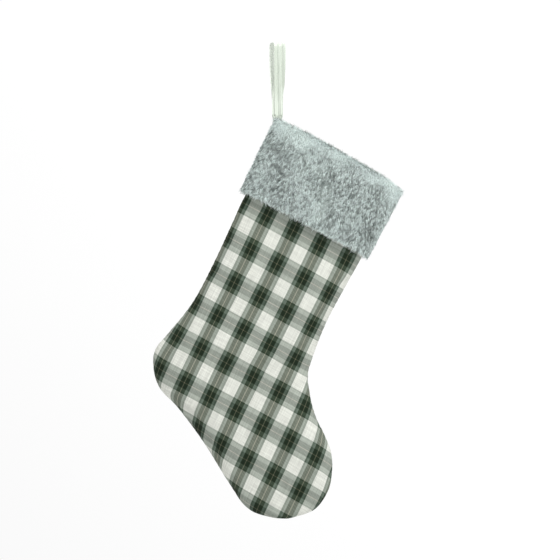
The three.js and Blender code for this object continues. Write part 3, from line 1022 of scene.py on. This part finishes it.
def ribbon_piece(name, grid, bodies, start, end, nodes, inward=1):
    uv = ribbon_uv(grid)
    piece = sheet_object(name, grid * MM, inward * RIBBON_THICKNESS * MM, SATIN, uv)
    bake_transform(piece)
    if nodes:
        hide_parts(*nodes)
    return piece


def build_loop():
    y, z = ribbon_line()
    heading = unit(np.gradient(np.stack([y, z], -1), axis=0))
    turn = smooth((y / CROWN + 1) / 2)
    width = ribbon_width(z)
    shift = STRAND_SHIFT * (1 - 2 * turn) * smooth((z - LOOP_BOTTOM) / STRANDS_PART)
    grid = strip(shift, width / 2, y, z, heading[:, 1])
    ribbon_piece("ribbon_loop", grid, ("hanger", "neck_upper"), *LOOP_BLEND, ["hanging_loop"])


def build_neck():
    """The two strands between the loop and the cuff, each in two lengths: the neck, and the tail that starts
    at its bottom.
    """
    for ply, side in SIDES.items():
        z = np.linspace(LOOP_BOTTOM, NECK_BOTTOM, 14)
        flat = np.zeros_like(z)
        grid = strip(flat, flat + NECK_WIDTH / 2, flat + side * PLY_GAP, z, flat + 1)
        ribbon_piece(
            f"ribbon_neck_{ply}", grid, ("neck_upper", "neck_lower"),
            NECK_FOLD + NECK_BLEND, NECK_FOLD - NECK_BLEND,
            ["loop_neck_upper", "loop_neck_lower"] if side < 0 else [], side,
        )
        build_tail(ply, side)


def build_tail(ply, side):
    """One strand from the neck into the cuff's seam, bending to the leg's own slant."""
    run = np.linspace(0, 1, 30)
    start = np.array([0.0, NECK_BOTTOM])
    corner = np.array([0.0, SWING_Z - TAIL_STRAIGHT])
    end_x, end_z = turned(TAIL_SHIFT, TAIL_DROP - LOOP_ROOT[1])
    end = np.array([end_x, end_z + SWING_Z])
    line = (1 - run)[:, None] ** 2 * start + 2 * (run * (1 - run))[:, None] * corner + (run**2)[:, None] * end
    heading = unit(np.gradient(line, axis=0))
    level = np.stack([-heading[:, 1], heading[:, 0]], -1)
    share = np.linspace(-1, 1, RIBBON_COLUMNS + 1)
    half = (NECK_WIDTH / 2 + (TAIL_WIDTH - NECK_WIDTH) / 2 * smooth(run * TAIL_TAPER))[:, None]
    x = line[:, :1] + level[:, :1] * half * share
    z = line[:, 1:] + level[:, 1:] * half * share
    stand = creases(half * share * NECK_WIDTH / TAIL_WIDTH, NECK_BOTTOM)
    grid = np.stack([x, side * PLY_GAP + stand, z], -1)
    ribbon_piece(
        f"ribbon_tail_{ply}", grid, ("neck_lower", "stocking"), SWING_Z + TAIL_BLEND, SWING_Z - TAIL_BLEND,
        ["loop_tail"] if side < 0 else [], side,
    )


build_loop()
build_neck()

# ---------- stitches and seams


STITCH_PITCH, STITCH_LENGTH, STITCH_RADIUS = 3.4, 2.5, 0.32
STITCH_OFFSET, STITCH_DROP = FACING - 1.0, 27.0


def stitch_row(name, centres, directions):
    """Short rounded stitches laid along a line."""
    sides = 6
    reach = np.array([-1, -0.8, -0.35, 0.35, 0.8, 1]) * STITCH_LENGTH / 2
    girth = np.array([0.05, 0.75, 1, 1, 0.75, 0.05]) * STITCH_RADIUS
    side = unit(np.cross(directions, np.array([0, 1, 0])))
    other = np.cross(directions, side)
    angle = np.linspace(0, math.tau, sides, endpoint=False)
    ring = np.cos(angle)[:, None] * side[:, None] + np.sin(angle)[:, None] * other[:, None]
    points = (
        centres[:, None, None] + directions[:, None, None] * reach[:, None, None]
        + ring[:, None] * girth[:, None, None]
    )
    rings, around = len(reach), np.arange(sides)
    size = rings * sides
    first = np.arange(len(centres))[:, None] * size
    body = (first[:, None] + tube_faces(rings, sides)).reshape(-1, 4)
    caps = np.stack([first + around[::-1], first + size - sides + around], 1).reshape(-1, sides)
    return new_object(name, hang(points.reshape(-1, 3)), body.tolist() + caps.tolist(), THREAD)


def build_mouth_stitches():
    for half, side in SIDES.items():
        _, line = line_round_mouth(STITCH_OFFSET, STITCH_DROP, side)
        run = run_length(line)
        at = np.arange(STITCH_PITCH, run[-1] - STITCH_PITCH, STITCH_PITCH)
        centres, ahead = (
            np.stack([np.interp(places, run, line[:, i]) for i in range(3)], -1) for places in (at, at + 0.5)
        )
        row = stitch_row(f"mouth_stitches_{half}", centres, unit(ahead - centres))
        belongs(row, side)
        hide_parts(f"mouth_stitch_{half}")


ALLOWANCE_FROM, ALLOWANCE_TO = 1.3, 4.6  # how far in from the leg's edge the turned-in plies lie
ALLOWANCE_PLY = 0.8


def build_side_seams():
    """The two turned-in plies of each side seam, pressed together inside the leg."""
    seams = []
    for place, edge, other in (("heel_side", HEEL_EDGE, TOE_EDGE), ("toe_side", TOE_EDGE, HEEL_EDGE)):
        share = np.linspace(0, 0.985, 150)
        outside = curve_points(edge, share)
        inward = curve_points(other, share) - outside
        length = lengths(inward)
        inward /= length
        reach = np.minimum(ALLOWANCE_TO, length / 2 - 0.6) - ALLOWANCE_FROM
        steps = np.linspace(0, 1, 6)
        flat = outside[:, None] + inward[:, None] * (ALLOWANCE_FROM + reach[:, None] * steps[:, None])
        ripple = 0.12 * np.sin(share[:, None] * 260 + steps * 2)
        grid = np.stack([flat[..., 0], ripple - 0.4, flat[..., 1]], -1)
        name, uv = f"seam_allowance_{place}", plaid_uv(flat, -1)
        seam = sheet_object(name, hang(grid), ALLOWANCE_PLY * MM, PLAID, uv)
        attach(seam, "stocking")
        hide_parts(f"side_seam_{place}")
        seams.append(seam)
    return seams


build_mouth_stitches()
build_side_seams()


def dress_cad_nodes():
    """The sewn parts inside the cuff that keep their CAD shape."""
    for names, material in (
        (("cuff_seam_heel_side", "cuff_seam_toe_side"), FUR_SKIN),
        (("loop_bartack",), THREAD),
    ):
        for name in names:
            data = frame["nodes"][name].data
            data.materials.clear()
            data.materials.append(material)


dress_cad_nodes()

# ---------- studio

FLOOR_Z = -1.1


def add_area_light(name, place, target, size, power):
    data = bpy.data.lights.new(name, "AREA")
    data.shape = "DISK"
    data.size = size
    data.energy = power
    light = bpy.data.objects.new(name, data)
    light.location = place
    toward = np.array(target, float) - np.array(place, float)
    light.rotation_euler = Vector(toward).to_track_quat("-Z", "Y").to_euler()
    SCENE.collection.objects.link(light)


def add_studio():
    bpy.ops.mesh.primitive_circle_add(vertices=96, radius=2.4, fill_type="NGON", location=(0, 0, FLOOR_Z))
    floor = bpy.context.object
    floor.name = "floor"
    nodes = Nodes("floor", 0.9)
    nodes.shader.inputs["Base Color"].default_value = (0.85, 0.85, 0.85, 1)
    floor.data.materials.append(nodes.material)
    add_area_light("key", (0.75, -1.25, 1.1), (0, 0, -0.35), 0.9, 29)
    add_area_light("fill", (-1.1, -1.2, 0.5), (0, 0, -0.3), 0.8, 4)
    add_area_light("top", (0.2, 0.3, 1.2), (0, 0, -0.3), 0.8, 5)
    world = bpy.data.worlds.new("studio")
    SCENE.world = world
    world.use_nodes = True
    tree = world.node_tree
    dot = tree.nodes.new("ShaderNodeVectorMath")
    dot.operation = "DOT_PRODUCT"
    tree.links.new(tree.nodes.new("ShaderNodeTexCoord").outputs["Generated"], dot.inputs[0])
    dot.inputs[1].default_value = (0.45, 0.35, 0.35)
    level = tree.nodes.new("ShaderNodeMapRange")
    tree.links.new(dot.outputs["Value"], level.inputs[0])
    for socket, value in zip(level.inputs[1:5], (-0.6, 0.35, 0.5, 1.02)):
        socket.default_value = value
    tree.links.new(level.outputs[0], tree.nodes["Background"].inputs["Strength"])
    tree.nodes["Background"].inputs["Color"].default_value = (1, 1, 1, 1)
    SCENE.view_settings.view_transform = "Standard"


add_studio()
